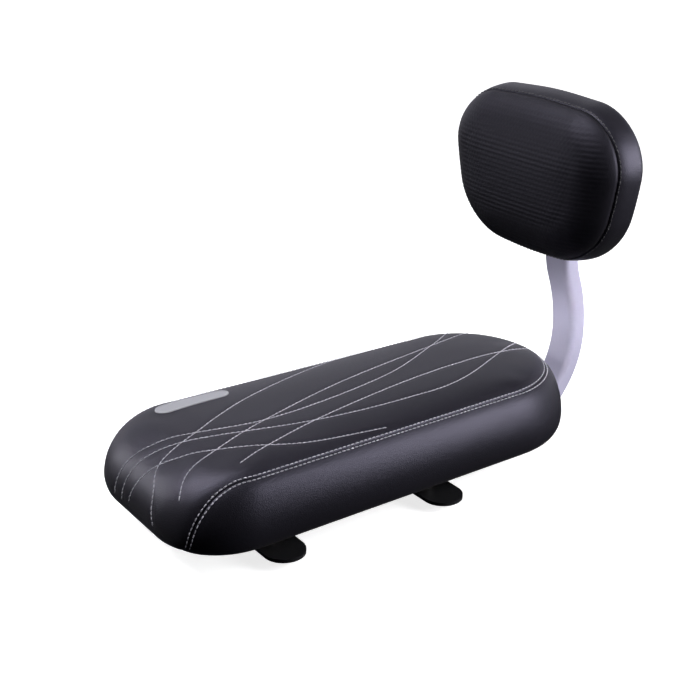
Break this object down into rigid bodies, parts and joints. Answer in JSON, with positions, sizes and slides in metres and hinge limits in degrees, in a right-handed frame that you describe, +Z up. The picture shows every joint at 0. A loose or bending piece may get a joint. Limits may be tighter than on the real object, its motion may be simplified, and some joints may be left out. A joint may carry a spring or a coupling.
{
  "type": "child bicycle rack seat",
  "caption": "Padded child seat for a bicycle's rear rack: long cushion with round ends, small padded backrest on a bent tube bracket, and clamp bars under the cushion.",
  "frame": {"origin": "middle of the seat's underside, in the plane that lies on the rack", "axes": "+Z up, -Y towards the nose of the seat, +Y towards the backrest, +X to the side"},
  "size_m": [0.1668, 0.3766, 0.2546],
  "materials": {
    "cover_leather": "smooth black leatherette with a soft sheen",
    "dimpled_leather": "black leatherette pressed with fine rows of dimples",
    "foam": "open-cell moulded foam",
    "plywood": "raw plywood",
    "dust_cloth": "black non-woven sheet",
    "label_foil": "bare silver-grey foil",
    "pad_rubber": "matt black rubber",
    "clamp_paint": "black powder coat",
    "bracket_paint": "satin silver paint with a cool tint",
    "plug_plastic": "moulded black plastic",
    "zinc_steel": "bright zinc plate"
  },
  "bodies": {
    "root": {"seat_top_panel": "cover_leather", "seat_side_band": "cover_leather", "seat_foam": "foam", "seat_base_board": "plywood", "seat_dust_cover": "dust_cloth", "seat_staples": "zinc_steel", "seat_label": "label_foil", "bracket_foot_pad": "pad_rubber", "rack_clamp_front": "clamp_paint", "rack_clamp_rear": "clamp_paint", "clamp_bolts": "zinc_steel", "clamp_washers": "zinc_steel", "clamp_tee_nuts": "zinc_steel", "backrest_bracket": "bracket_paint", "bracket_foot_plug": "plug_plastic", "bracket_top_plug": "plug_plastic", "foot_bolts": "zinc_steel", "foot_washers": "zinc_steel", "foot_tee_nuts": "zinc_steel", "backrest_front_panel": "dimpled_leather", "backrest_border": "cover_leather", "backrest_foam": "foam", "backrest_board": "plywood", "backrest_rear_panel": "cover_leather", "backrest_bolts": "zinc_steel", "backrest_washers": "zinc_steel", "backrest_tee_nuts": "zinc_steel"}
  },
  "joints": []
}
